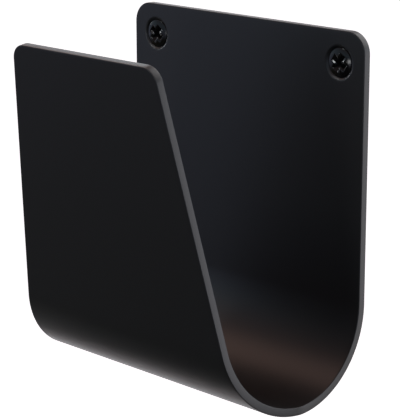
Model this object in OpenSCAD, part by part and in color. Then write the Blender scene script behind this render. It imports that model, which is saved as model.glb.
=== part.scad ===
// Wall holder for a charging connector and its cable.
// One sheet is bent into a deep hook: an upright back leaf, a round bend and a front leaf that narrows upwards.
// Two countersunk screws hold the back leaf on the wall.
// Frame: millimetres, +Z up, +Y into the wall, origin on the back face midway between the two screws.

/* [Sheet] */
// width of the back leaf and of the first half of the bend
holder_w = 120; // [90:1:160]
// height from the bottom of the bend to the top of the back leaf
holder_h = 136.5; // [110:0.5:180]
// thickness of the sheet with its coat
sheet_t = 3.2; // [3:0.1:5]
// inside radius of the bend
bend_r = 31.5; // [22:0.5:45]

/* [Front leaf] */
// lean of the front leaf away from upright, in degrees
front_lean = 9.5; // [0:0.5:20]
// straight length of the front leaf above the bend
front_l = 104; // [60:0.5:130]
// width of the front leaf at its top edge
front_top_w = 74; // [50:1:85]

/* [Corners] */
// radius of the two top corners of the back leaf
back_corner_r = 8; // [3:0.5:12]
// radius of the two top corners of the front leaf
front_corner_r = 6.5; // [3:0.5:12]

/* [Screws] */
// distance from each screw axis to the side edge and to the top edge of the back leaf
screw_inset = 12; // [9:0.5:20]
// diameter of the screw shank
screw_d = 6; // [4.5:0.1:6.5]
// diameter of the screw head at its rim
head_d = 11; // [10:0.1:13]
// depth of the top of the head's rim below the front of the sheet
head_sink = 0.5; // [0.1:0.05:0.8]
// height of the straight rim between the cone and the dome of the head
rim_h = 0.2; // [0.1:0.05:0.4]
// height of the domed top of the head above its rim
dome_h = 1; // [0.5:0.1:1.6]
// length of the screw from the rim of its head to its end
screw_l = 12; // [8:0.5:40]
// tip to tip width of the cross recess
recess_w = 6.6; // [5:0.1:7.5]
// width of one arm of the cross recess
recess_arm_w = 1.9; // [1.2:0.1:2.4]
// depth of the cross recess below the rim
recess_depth = 2; // [1:0.1:2.5]

/* [Clearances] */
// gap between the screw shank and the side of its hole
hole_gap = 0.3; // [0.1:0.05:0.6]
// gap between the cone of the head and the countersink
seat_gap = 0.05; // [0.02:0.01:0.1]

/* [Hidden] */
$fn = 96;
// spare length of a cutting shape past the face that it goes through
spare = 1;
// axis of the bend, and the length of the back leaf above it
bend_ro = bend_r + sheet_t;
bend_rm = bend_r + sheet_t / 2;
bend_y = -bend_ro;
back_l = holder_h - bend_ro;
bend_z = screw_inset - back_l;
bend_angle = 180 - front_lean;
// the side edges of the flat blank are straight and start to close in at the bottom of the bend
taper_angle = bend_angle - 90;
taper_bend_l = bend_rm * taper_angle * PI / 180;
taper_slope = (holder_w - front_top_w) / 2 / (taper_bend_l + front_l);
taper_bend_in = taper_slope * taper_bend_l;
front_low_w = holder_w - 2 * taper_bend_in;
taper_steps = 16;
// the sector that trims the bend reaches past the end of the bend and past both faces of the sheet
trim_span = taper_angle + 20;
trim_sides = 10;
// the foot of the front leaf goes a little way into the end of the bend, and its faces lie a hair inside it
foot_l = 0.25;
hair = 0.01;
side_hair = 0.03;
// screws
screw_x = holder_w / 2 - screw_inset;
recess_turns = [55, 58];
rim_z = sheet_t - head_sink;
cone_l = (head_d - screw_d) / 2;
// bevel at the end of the shank
end_bevel = 0.13 * screw_d;
dome_r = (head_d * head_d / 4 + dome_h * dome_h) / (2 * dome_h);
recess_end_w = recess_w / 2.6;
// the countersink runs at 45 degrees, parallel to the cone of the head
hole_d = screw_d + 2 * hole_gap;
sink_d = head_d + 2 * (head_sink + rim_h) + 2 * seat_gap * sqrt(2);
sink_l = (sink_d - hole_d) / 2;

// outline of one leaf from its bend line up: straight sides from w0 to w1 and round top corners
// foot is a length added below the bend line, and over makes the corner circles cross the straight edges
module leaf_outline(w0, w1, l, r, foot = 0, over = 0) {
  lean = atan((w0 - w1) / 2 / l);
  low_x = w0 / 2 + foot * tan(lean);
  cx = w1 / 2 - r * (1 - sin(lean)) / cos(lean);
  cy = l - r;
  sx = cx + r * cos(lean);
  sy = cy + r * sin(lean);
  polygon([[-low_x, -foot], [low_x, -foot], [sx, sy], [cx, l], [-cx, l], [-sx, sy]]);
  for (side = [-1, 1]) {
    translate([side * cx, cy])
      circle(r = r + over);
  }
}

// full-width bend about its own axis, which lies along X
module bend_ring() {
  rotate([90, 0, 90])
    mirror([0, 1, 0])
      rotate_extrude(angle = bend_angle)
        translate([bend_r, -holder_w / 2])
          square([sheet_t, holder_w]);
}

// sector that turns as it moves outwards, so it trims one edge of the bend along the bent line of the blank
module bend_trim() {
  step_l = taper_bend_in / taper_steps;
  step_a = taper_angle / taper_steps;
  ends = 1.5;
  outer = [for (i = [0 : trim_sides]) (bend_ro + spare) * turn(i)];
  inner = [for (i = [trim_sides : -1 : 0]) (bend_r - spare) * turn(i)];
  rotate([90, 0, 90])
    translate([0, 0, holder_w / 2 - taper_bend_in - ends * step_l])
      rotate([0, 0, -bend_angle - ends * step_a])
        linear_extrude(
          height = taper_bend_in + 2 * ends * step_l,
          twist = -taper_angle - 2 * ends * step_a,
          slices = taper_steps + 2 * ends,
          segments = 1
        )
          polygon(concat(outer, inner));
}

// direction of one corner of the trimming sector
function turn(i) = [cos(trim_span * i / trim_sides), -sin(trim_span * i / trim_sides)];

module bend() {
  difference() {
    bend_ring();
    bend_trim();
    mirror([1, 0, 0])
      bend_trim();
  }
}

module back_leaf() {
  translate([0, 0, bend_z])
    rotate([90, 0, 0])
      linear_extrude(height = sheet_t)
        leaf_outline(holder_w, holder_w, back_l, back_corner_r);
}

module front_leaf() {
  rotate([front_lean, 0, 0])
    translate([0, -bend_r - hair, 0])
      rotate([90, 0, 0])
        linear_extrude(height = sheet_t - 2 * hair)
          leaf_outline(front_low_w - 2 * side_hair, front_top_w, front_l, front_corner_r, foot_l, hair);
}

// clearance hole and countersink, from the back face forwards and on past both faces
module screw_hole() {
  rotate_extrude()
    polygon([
      [0, -spare],
      [hole_d / 2, -spare],
      [hole_d / 2, sheet_t - sink_l],
      [sink_d / 2 + spare, sheet_t + spare],
      [0, sheet_t + spare]
    ]);
}

module at_screws() {
  for (i = [0, 1]) {
    translate([(2 * i - 1) * screw_x, 0, 0])
      rotate([90, 0, 0])
        rotate([0, 0, recess_turns[i]])
          children();
  }
}

module holder() {
  color([0.035, 0.035, 0.037])
    difference() {
      union() {
        back_leaf();
        translate([0, bend_y, bend_z]) {
          bend();
          front_leaf();
        }
      }
      at_screws()
        screw_hole();
    }
}

// cross recess: four arms and a round core, both closing in towards the bottom
module recess() {
  depth = recess_depth + dome_h + spare;
  intersection() {
    translate([0, 0, -recess_depth])
      cylinder(d1 = recess_end_w, d2 = recess_w, h = depth);
    union() {
      translate([-recess_w, -recess_arm_w / 2, -recess_depth - spare])
        cube([2 * recess_w, recess_arm_w, depth + 2 * spare]);
      translate([-recess_arm_w / 2, -recess_w, -recess_depth - spare])
        cube([recess_arm_w, 2 * recess_w, depth + 2 * spare]);
      translate([0, 0, -recess_depth])
        cylinder(d1 = recess_end_w, d2 = 1.7 * recess_arm_w, h = depth);
    }
  }
}

// half section of one screw, with the top of the rim of its head at height 0
module screw_profile() {
  polygon([
    [0, -screw_l],
    [screw_d / 2 - end_bevel, -screw_l],
    [screw_d / 2, end_bevel - screw_l],
    [screw_d / 2, -rim_h - cone_l],
    [head_d / 2, -rim_h],
    [0, -rim_h]
  ]);
  intersection() {
    translate([0, dome_h - dome_r])
      circle(r = dome_r);
    translate([0, -rim_h])
      square([head_d / 2, rim_h + 2 * dome_h]);
  }
}

// one screw, pointing down, with the back face of the sheet at height 0
module screw() {
  translate([0, 0, rim_z])
    difference() {
      rotate_extrude()
        screw_profile();
      recess();
    }
}

module screws() {
  color([0.02, 0.02, 0.022])
    at_screws()
      screw();
}

holder();
screws();
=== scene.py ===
import math

import bpy
import numpy as np
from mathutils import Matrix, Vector


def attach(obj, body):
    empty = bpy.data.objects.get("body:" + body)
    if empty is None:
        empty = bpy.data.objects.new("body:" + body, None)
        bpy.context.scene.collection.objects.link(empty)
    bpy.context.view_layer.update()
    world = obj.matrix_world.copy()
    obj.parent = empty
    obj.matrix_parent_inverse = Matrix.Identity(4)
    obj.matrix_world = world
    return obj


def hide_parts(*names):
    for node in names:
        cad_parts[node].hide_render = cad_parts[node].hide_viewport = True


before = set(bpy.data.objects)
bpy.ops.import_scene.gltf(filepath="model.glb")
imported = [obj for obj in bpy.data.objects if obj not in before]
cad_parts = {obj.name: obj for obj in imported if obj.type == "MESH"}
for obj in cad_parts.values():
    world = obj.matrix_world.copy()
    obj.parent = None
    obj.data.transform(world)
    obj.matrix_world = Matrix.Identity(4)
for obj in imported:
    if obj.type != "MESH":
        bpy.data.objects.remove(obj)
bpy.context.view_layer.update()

# Bent sheet: one steel blank, 3.2 mm thick with its coat. Its sides close in from the bottom of the bend.
# The powder coat softens its cut edges and the rims of its two countersinks, so that they catch the light.
# Lengths are millimetres. The sheet is laid out flat along s, from the top of the back leaf, and then bent.
half_w, thick, back_l, front_l, bend_r = 60.0, 3.2, 101.8, 104.0, 33.1
lean = math.radians(9.5)
bend_a = math.pi - lean
kink_s = back_l + bend_r * math.pi / 2
bend_end_s = back_l + bend_r * bend_a
sheet_l = bend_end_s + front_l
top_half_w, back_round, front_round = 37.0, 8.0, 6.5
slope = (half_w - top_half_w) / (sheet_l - kink_s)
lip, soft = 1.3, 0.3
hole_s, hole_x, hole_r, sink_r, sink_soft = 12.0, 48.0, 3.3, 6.27, 1.6
block, block_cells = 8.8, 16
bend_y, bend_z = -bend_r - thick / 2, hole_s - back_l
mm = 0.001


def bent(s, x, h):
    """Point of the bent sheet for a point of the flat one. Up to the bend line the sheet is straight. Then it
    turns about the bend's axis, by the length past the line over the radius, and then it runs straight on
    along the tangent. h is the height above the middle of the sheet, towards the inside of the hook, and it
    shortens the radius."""
    a = np.clip((s - back_l) / bend_r, 0.0, bend_a)
    past = s - back_l - bend_r * a
    y = bend_y + (bend_r - h) * np.cos(a) - past * np.sin(a)
    z = bend_z - (bend_r - h) * np.sin(a) - past * np.cos(a)
    return np.stack(np.broadcast_arrays(x, y, z), axis=-1) * mm


def quads(rows, cols, keep=None):
    """Corner numbers of the cells of a grid of points, row by row, all of them or those that keep marks."""
    at = np.arange(rows * cols).reshape(rows, cols)
    cells = np.stack([at[:-1, :-1], at[:-1, 1:], at[1:, 1:], at[1:, :-1]], axis=-1)
    return cells.reshape(-1, 4) if keep is None else cells[keep]


def joined(points, faces):
    """The same surface with each place kept once: points that round to the same 0.1 micrometre become one."""
    places = np.round(points / 1e-7).astype(np.int64)
    _, first, same = np.unique(places, axis=0, return_index=True, return_inverse=True)
    return points[first], same.ravel()[faces]


# The right edge of the flat sheet, moved in by the lip: corner arc, straight side, tapered side, corner arc.
tilt = math.atan(slope)
t = np.linspace(0, math.pi / 2, 13)
arc_r = back_round - lip
corner = np.stack([back_round - arc_r * np.cos(t), half_w - back_round + arc_r * np.sin(t)])
corner_n = np.stack([-np.cos(t), np.sin(t)])
front_cs = sheet_l - front_round
front_cx = top_half_w - front_round * (1 - math.sin(tilt)) / math.cos(tilt)
t = np.linspace(tilt, math.pi / 2, 13)
arc_r = front_round - lip
tip = np.stack([front_cs + arc_r * np.sin(t), front_cx + arc_r * np.cos(t)])
tip_n = np.stack([np.sin(t), np.cos(t)])
side_s = np.concatenate([
    np.linspace(back_round, hole_s + block, 9)[1:],
    np.linspace(hole_s + block, back_l, 18)[1:],
    np.linspace(back_l, bend_end_s, 91)[1:],
    np.linspace(bend_end_s, tip[0, 0], 22)[1:-1],
])
side_x = np.minimum(half_w - lip, half_w - slope * (side_s - kink_s) - lip * math.hypot(1, slope))
tapered = (side_x < half_w - lip).astype(float)
side_n = np.stack([tapered * math.sin(tilt), 1 - tapered * (1 - math.cos(tilt))])
edge = np.concatenate([corner, np.stack([side_s, side_x]), tip], axis=1)
edge_n = np.concatenate([corner_n, side_n, tip_n], axis=1)
rows = edge.shape[1]

# Inside and outside faces: rows along s, columns across, with a square block left open around each hole.
beside = np.linspace(hole_x - block, hole_x + block, block_cells + 1) / (half_w - lip)
across = np.concatenate([np.linspace(0, beside[0], 15)[:-1], beside, [1.0]])
across = np.concatenate([-across[:0:-1], across])
cols = len(across)
flat_s = np.repeat(edge[0][:, None], cols, axis=1)
flat_x = edge[1][:, None] * across[None, :]
row_a = int(np.argmin(np.abs(edge[0] - hole_s + block)))
row_b = int(np.argmin(np.abs(edge[0] - hole_s - block)))
col_b = cols - 2
col_a = col_b - block_cells
keep = np.ones((rows - 1, cols - 1), dtype=bool)
keep[row_a:row_b, col_a:col_b] = False
keep[row_a:row_b, cols - 1 - col_b:cols - 1 - col_a] = False
points, faces, count = [], [], 0
for h, flip in ((thick / 2, True), (-thick / 2, False)):
    cells = quads(rows, cols, keep)
    points.append(bent(flat_s, flat_x, np.full_like(flat_s, h)).reshape(-1, 3))
    faces.append((cells[:, ::-1] if flip else cells) + count)
    count += rows * cols

# Border: the cut edge with its two softened corners, carried round the whole outline, square to it.
ring = np.concatenate([
    np.stack([flat_s[0, :-1], flat_x[0, :-1], np.full(cols - 1, -1.0), np.zeros(cols - 1)]),
    np.stack([edge[0, :-1], edge[1, :-1], edge_n[0, :-1], edge_n[1, :-1]]),
    np.stack([flat_s[-1, :0:-1], flat_x[-1, :0:-1], np.full(cols - 1, 1.0), np.zeros(cols - 1)]),
    np.stack([edge[0, ::-1], -edge[1, ::-1], edge_n[0, ::-1], -edge_n[1, ::-1]]),
], axis=1)
t = np.linspace(0, math.pi / 2, 8)
round_out = lip - soft + soft * np.sin(t)
round_up = thick / 2 - soft + soft * np.cos(t)
out = np.concatenate([[0.0], round_out, round_out[::-1], [0.0]])
up = np.concatenate([[thick / 2], round_up, -round_up[::-1], [-thick / 2]])
ring_s = ring[0][:, None] + out * ring[2][:, None]
ring_x = ring[1][:, None] + out * ring[3][:, None]
border = bent(ring_s, ring_x, up[None, :] + 0 * ring_s)
points.append(border.reshape(-1, 3))
faces.append(quads(*border.shape[:2])[:, ::-1] + count)
count += border.shape[0] * border.shape[1]

# Countersunk holes: from the open block in to the rim, down the cone and out to the block on the back.
t = np.linspace(0, math.pi / 4, 6)
rim_r = sink_r + sink_soft * math.tan(math.pi / 8) - sink_soft * np.sin(t)
rim_d = sink_soft - sink_soft * np.cos(t)
face_rings, cone_ring, back_rings = [7.8, 7.1], hole_r + 0.9, [hole_r + 0.3, 5.2]
radii = np.concatenate([face_rings, rim_r, [cone_ring, hole_r, hole_r], back_rings])
depths = np.concatenate([[0, 0], rim_d, [sink_r - cone_ring, sink_r - hole_r, thick], [thick, thick]])
level = thick / 2 - np.concatenate([[0], depths, [thick]])
for mirrored in (False, True):
    a, b = (cols - 1 - col_b, cols - 1 - col_a) if mirrored else (col_a, col_b)
    loop = np.concatenate([
        np.stack([np.full(b - a, row_a), np.arange(a, b)], axis=1),
        np.stack([np.arange(row_a, row_b), np.full(row_b - row_a, b)], axis=1),
        np.stack([np.full(b - a, row_b), np.arange(b, a, -1)], axis=1),
        np.stack([np.arange(row_b, row_a - 1, -1), np.full(row_b - row_a + 1, a)], axis=1),
    ])
    mid_x = -hole_x if mirrored else hole_x
    off_s = flat_s[loop[:, 0], loop[:, 1], None] - hole_s
    off_x = flat_x[loop[:, 0], loop[:, 1], None] - mid_x
    far = np.hypot(off_s, off_x)
    reach = np.concatenate([far, np.repeat(radii[None, :], len(far), axis=0), far], axis=1)
    hole = bent(hole_s + reach * off_s / far, mid_x + reach * off_x / far, level[None, :] + 0 * reach)
    points.append(hole.reshape(-1, 3))
    faces.append(quads(*hole.shape[:2]) + count)
    count += hole.shape[0] * hole.shape[1]

points, faces = joined(np.concatenate(points), np.concatenate(faces))
mesh = bpy.data.meshes.new("holder_sheet")
mesh.from_pydata(points, [], faces.tolist())
mesh.polygons.foreach_set("use_smooth", np.ones(len(faces), dtype=bool))
mesh.validate()
sheet = bpy.data.objects.new("holder_sheet", mesh)
bpy.context.scene.collection.objects.link(sheet)

coat = bpy.data.materials.new("powder_coat")
coat.use_nodes = True
shader = coat.node_tree.nodes["Principled BSDF"]
shader.inputs["Base Color"].default_value = (0.004, 0.0042, 0.0046, 1)
shader.inputs["Roughness"].default_value = 0.4
shader.inputs["Specular IOR Level"].default_value = 0.5
mesh.materials.append(coat)
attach(sheet, "root")
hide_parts("holder")

# Screws: two black plated machine screws with raised countersunk heads hold the back leaf. Each has a cross
# recess with bevelled lips, and a thread cut on the shank behind the sheet. Each is one turned surface, from
# the middle of its head to the end of its shank.
head_r, dome_h, rim_h, shank_r, screw_l, sink = 5.5, 1.0, 0.2, 3.0, 12.0, 0.5
dome_r = (head_r * head_r + dome_h * dome_h) / (2 * dome_h)
cone_h = head_r - shank_r
arm_half, core_r, arm_end, deepest = 0.95, 1.62, 3.5, 2.6
bevel_out, bevel_in, bevel_slope, wall_slope, floor_slope, blend = 0.8, 0.1, 0.6, 2.6, 1.15, 0.006
pitch, groove_depth, flank, crest = 1.0, 0.56, 2.5, 0.1
plain_l, run_in_l, end_bevel = 0.8, 0.7, 0.78


def recess_depth(u, v):
    """Depth of the cross recess below the dome. Each arm has a bevelled lip, which falls gently from outside
    the arm's outline, and then a steep wall. The floor falls evenly from the arm's end to the middle. The
    shallower of wall and floor counts, rounded off where it leaves the dome."""
    u, v = np.abs(u), np.abs(v)
    far, near = np.maximum(u, v), np.minimum(u, v)
    inside = np.maximum(arm_half - near, core_r - np.hypot(u, v))
    bevel = bevel_slope * (inside + bevel_out)
    wall = np.maximum(bevel, wall_slope * (inside - bevel_in) + bevel_slope * (bevel_in + bevel_out))
    both = np.minimum(wall, floor_slope * (arm_end - far))
    both = 0.5 * (both + np.sqrt(both * both + blend)) - blend
    return np.clip(np.minimum(both, deepest), 0, None)


spin = np.linspace(0, 2 * math.pi, 145)
top_r = np.linspace(0, head_r - 0.12, 70)
top_z = np.sqrt(dome_r ** 2 - top_r ** 2) - (dome_r - dome_h)
rho = top_r[:, None] + 0 * spin
height = top_z[:, None] - recess_depth(rho * np.cos(spin), rho * np.sin(spin))

# Below the dome come the rim, its edges eased by a few hundredths, and the cone of the head.
cone_z = np.linspace(-rim_h - 0.2, -rim_h - cone_h, 8)
cone_r = np.linspace(head_r - 0.2, shank_r, 8)
turn_z = np.concatenate([[-0.03, -0.1, -rim_h, -rim_h - 0.06], cone_z])
turn_r = np.concatenate([[head_r - 0.03, head_r, head_r, head_r - 0.06], cone_r])

# Shank: the thread's groove is a clipped triangle wave of the run along the axis less the turn about it. It
# deepens evenly at its start, and the end of the shank has a bevel and a flat face.
run_z = np.arange(-rim_h - cone_h - 0.1, -screw_l, -0.08)
run_in = np.clip((-rim_h - cone_h - plain_l - run_z) / run_in_l, 0, 1)
phase = (run_z[:, None] / pitch - spin / (2 * math.pi)) % 1.0
groove = np.clip(np.abs(phase - 0.5) * flank - crest, 0, 1)
bevelled_r = shank_r - end_bevel * np.clip((end_bevel - screw_l - run_z) / end_bevel, 0, 1)
run_r = np.minimum(shank_r - groove_depth * run_in[:, None] * groove, bevelled_r[:, None])
end_r = np.array([1.6, 0.8, 0.0])
end_z = np.full(len(end_r), -screw_l)
rho = np.concatenate([rho, turn_r[:, None] + 0 * spin, run_r, end_r[:, None] + 0 * spin])
height = np.concatenate([height, np.concatenate([turn_z, run_z, end_z])[:, None] + 0 * spin])
points, faces, count = [], [], 0
for mid_x, recess_turn in ((-hole_x, 55.0), (hole_x, 58.0)):
    around = spin + math.radians(recess_turn)
    screw = np.stack([mid_x + rho * np.cos(around), sink - thick - height, rho * np.sin(around)], axis=-1)
    points.append(screw.reshape(-1, 3) * mm)
    faces.append(quads(*rho.shape)[:, ::-1] + count)
    count += rho.size
points, faces = joined(np.concatenate(points), np.concatenate(faces))
mesh = bpy.data.meshes.new("wall_screws")
mesh.from_pydata(points, [], faces.tolist())
mesh.validate()
mesh.polygons.foreach_set("use_smooth", np.ones(len(mesh.polygons), dtype=bool))
screws = bpy.data.objects.new("wall_screws", mesh)
bpy.context.scene.collection.objects.link(screws)

plate = bpy.data.materials.new("screw_black")
plate.use_nodes = True
shader = plate.node_tree.nodes["Principled BSDF"]
shader.inputs["Base Color"].default_value = (0.003, 0.003, 0.003, 1)
shader.inputs["Roughness"].default_value = 0.16
shader.inputs["Specular IOR Level"].default_value = 0.3
mesh.materials.append(plate)
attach(screws, "root")
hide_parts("screws")

# Studio: a plain pale floor lies well below the part, and the camera sees the floor and the room as white.
# A white card behind on the left and a narrow board under the part are hidden from the camera and show in the
# gloss. A dim room and seven lamps light the part: two large ones behind, a warm one and four small ones.
floor_half, floor_z = 12.0, -1.2
mesh = bpy.data.meshes.new("floor")
mesh.from_pydata([
    (-floor_half, -floor_half, floor_z),
    (floor_half, -floor_half, floor_z),
    (floor_half, floor_half, floor_z),
    (-floor_half, floor_half, floor_z),
], [], [(0, 1, 2, 3)])
floor = bpy.data.objects.new("floor", mesh)
bpy.context.scene.collection.objects.link(floor)
floor.visible_glossy = False
floor.visible_shadow = False
pale = bpy.data.materials.new("floor")
pale.use_nodes = True
nodes, links = pale.node_tree.nodes, pale.node_tree.links
shader = nodes["Principled BSDF"]
shader.inputs["Base Color"].default_value = (0.85, 0.85, 0.85, 1)
shader.inputs["Roughness"].default_value = 0.9
shader.inputs["Emission Color"].default_value = (0.9, 0.9, 0.9, 1)
path = nodes.new("ShaderNodeLightPath")
links.new(path.outputs["Is Camera Ray"], shader.inputs["Emission Strength"])
mesh.materials.append(pale)

left, right, near, far, board_z = -1.0, 0.5, 0.01, 0.14, -0.45
mesh = bpy.data.meshes.new("board")
mesh.from_pydata([
    (left, near, board_z),
    (right, near, board_z),
    (right, far, board_z),
    (left, far, board_z),
], [], [(0, 1, 2, 3)])
board = bpy.data.objects.new("board", mesh)
bpy.context.scene.collection.objects.link(board)
board.visible_camera = False
board.visible_diffuse = False
board.visible_shadow = False
matt = bpy.data.materials.new("board")
matt.use_nodes = True
shader = matt.node_tree.nodes["Principled BSDF"]
shader.inputs["Base Color"].default_value = (0.93, 0.93, 0.93, 1)
shader.inputs["Roughness"].default_value = 0.9
mesh.materials.append(matt)

mid = np.array([-0.46, 0.41, -0.265])
wide = np.array([0.5, 0.5, 0.0])
tall = np.array([0.0, 0.0, 0.475])
mesh = bpy.data.meshes.new("backdrop")
mesh.from_pydata([
    mid - wide - tall,
    mid + wide - tall,
    mid + wide + tall,
    mid - wide + tall,
], [], [(0, 1, 2, 3)])
card = bpy.data.objects.new("backdrop", mesh)
bpy.context.scene.collection.objects.link(card)
card.visible_camera = False
white = bpy.data.materials.new("backdrop")
white.use_nodes = True
nodes, links = white.node_tree.nodes, white.node_tree.links
shader = nodes["Principled BSDF"]
shader.inputs["Base Color"].default_value = (0.8, 0.8, 0.8, 1)
shader.inputs["Roughness"].default_value = 0.9
shader.inputs["Emission Color"].default_value = (1, 1, 1, 1)
path = nodes.new("ShaderNodeLightPath")
shown = nodes.new("ShaderNodeMath")
shown.operation = "MAXIMUM"
links.new(path.outputs["Is Glossy Ray"], shown.inputs[0])
links.new(path.outputs["Is Transmission Ray"], shown.inputs[1])
links.new(shown.outputs[0], shader.inputs["Emission Strength"])
mesh.materials.append(white)

# The room's colour changes with the height of the direction, from straight down at -1 to straight up at 1.
world = bpy.data.worlds.new("room")
bpy.context.scene.world = world
world.use_nodes = True
nodes, links = world.node_tree.nodes, world.node_tree.links
where = nodes.new("ShaderNodeTexCoord")
split = nodes.new("ShaderNodeSeparateXYZ")
links.new(where.outputs["Generated"], split.inputs[0])
upward = nodes.new("ShaderNodeMapRange")
upward.inputs["From Min"].default_value = -1.0
links.new(split.outputs["Z"], upward.inputs["Value"])
ramp = nodes.new("ShaderNodeValToRGB")
ramp.color_ramp.interpolation = "EASE"
for z, tone in (
    (-0.65, (0.05, 0.053, 0.05)),
    (-0.43, (0.054, 0.046, 0.026)),
    (-0.11, (0.355, 0.385, 0.53)),
    (0.15, (0.39, 0.51, 0.62)),
    (0.5, (0.28, 0.21, 0.22)),
):
    stop = ramp.color_ramp.elements.new((z + 1) / 2)
    stop.color = (*tone, 1)
ramp.color_ramp.elements.remove(ramp.color_ramp.elements[0])
ramp.color_ramp.elements.remove(ramp.color_ramp.elements[-1])
links.new(upward.outputs["Result"], ramp.inputs["Fac"])
room = nodes["Background"]
links.new(ramp.outputs["Color"], room.inputs["Color"])
blank = nodes.new("ShaderNodeBackground")
blank.inputs["Color"].default_value = (1, 1, 1, 1)
path = nodes.new("ShaderNodeLightPath")
either = nodes.new("ShaderNodeMixShader")
links.new(path.outputs["Is Camera Ray"], either.inputs["Fac"])
links.new(room.outputs[0], either.inputs[1])
links.new(blank.outputs[0], either.inputs[2])
links.new(either.outputs[0], nodes["World Output"].inputs["Surface"])

for name, place, aim, size, power, tint in (
    ("behind_right", (0.85, 0.77, -0.2), (0, -0.04, -0.06), 1.0, 4.6, (1.0, 0.97, 0.98)),
    ("left", (-0.66, 0.04, 0.65), (0, -0.04, -0.1), 0.9, 1.75, (1.0, 0.62, 0.48)),
    ("behind_top", (0.22, 0.87, 0.72), (0, -0.04, 0), 1.4, 11.0, (0.97, 0.98, 1.0)),
    ("behind_left", (-0.72, 0.54, 0.5), (0, -0.04, -0.05), 0.35, 0.55, (0.8, 0.93, 1.0)),
    ("front", (-0.07, -1.18, -0.08), (0, 0, 0), 0.2, 0.9, (1.0, 1.0, 1.0)),
    ("top_left", (-0.44, -0.86, 0.73), (0, 0, 0), 0.22, 2.6, (0.93, 0.98, 1.0)),
    ("far_left", (-1.17, -0.24, 0.15), (0, 0, 0), 0.1, 0.75, (1.0, 1.0, 1.0)),
):
    lamp = bpy.data.lights.new(name, "AREA")
    lamp.shape = "DISK"
    lamp.size = size
    lamp.energy = power
    lamp.color = tint
    light = bpy.data.objects.new(name, lamp)
    bpy.context.scene.collection.objects.link(light)
    light.location = place
    light.rotation_euler = (Vector(aim) - Vector(place)).to_track_quat("-Z", "Y").to_euler()

# Camera: it stands to the right of the part and above it, as far away as the photograph's perspective tells.
lens = bpy.data.cameras.new("camera")
lens.lens = 152.15
lens.sensor_width = 36.0
lens.clip_end = 20.0
camera = bpy.data.objects.new("camera", lens)
camera.location = (0.46142, -0.48936, 0.11331)
camera.rotation_euler = (math.radians(75.174), math.radians(0.076), math.radians(44.908))
bpy.context.scene.collection.objects.link(camera)
bpy.context.scene.camera = camera
bpy.context.scene.view_settings.view_transform = "Standard"
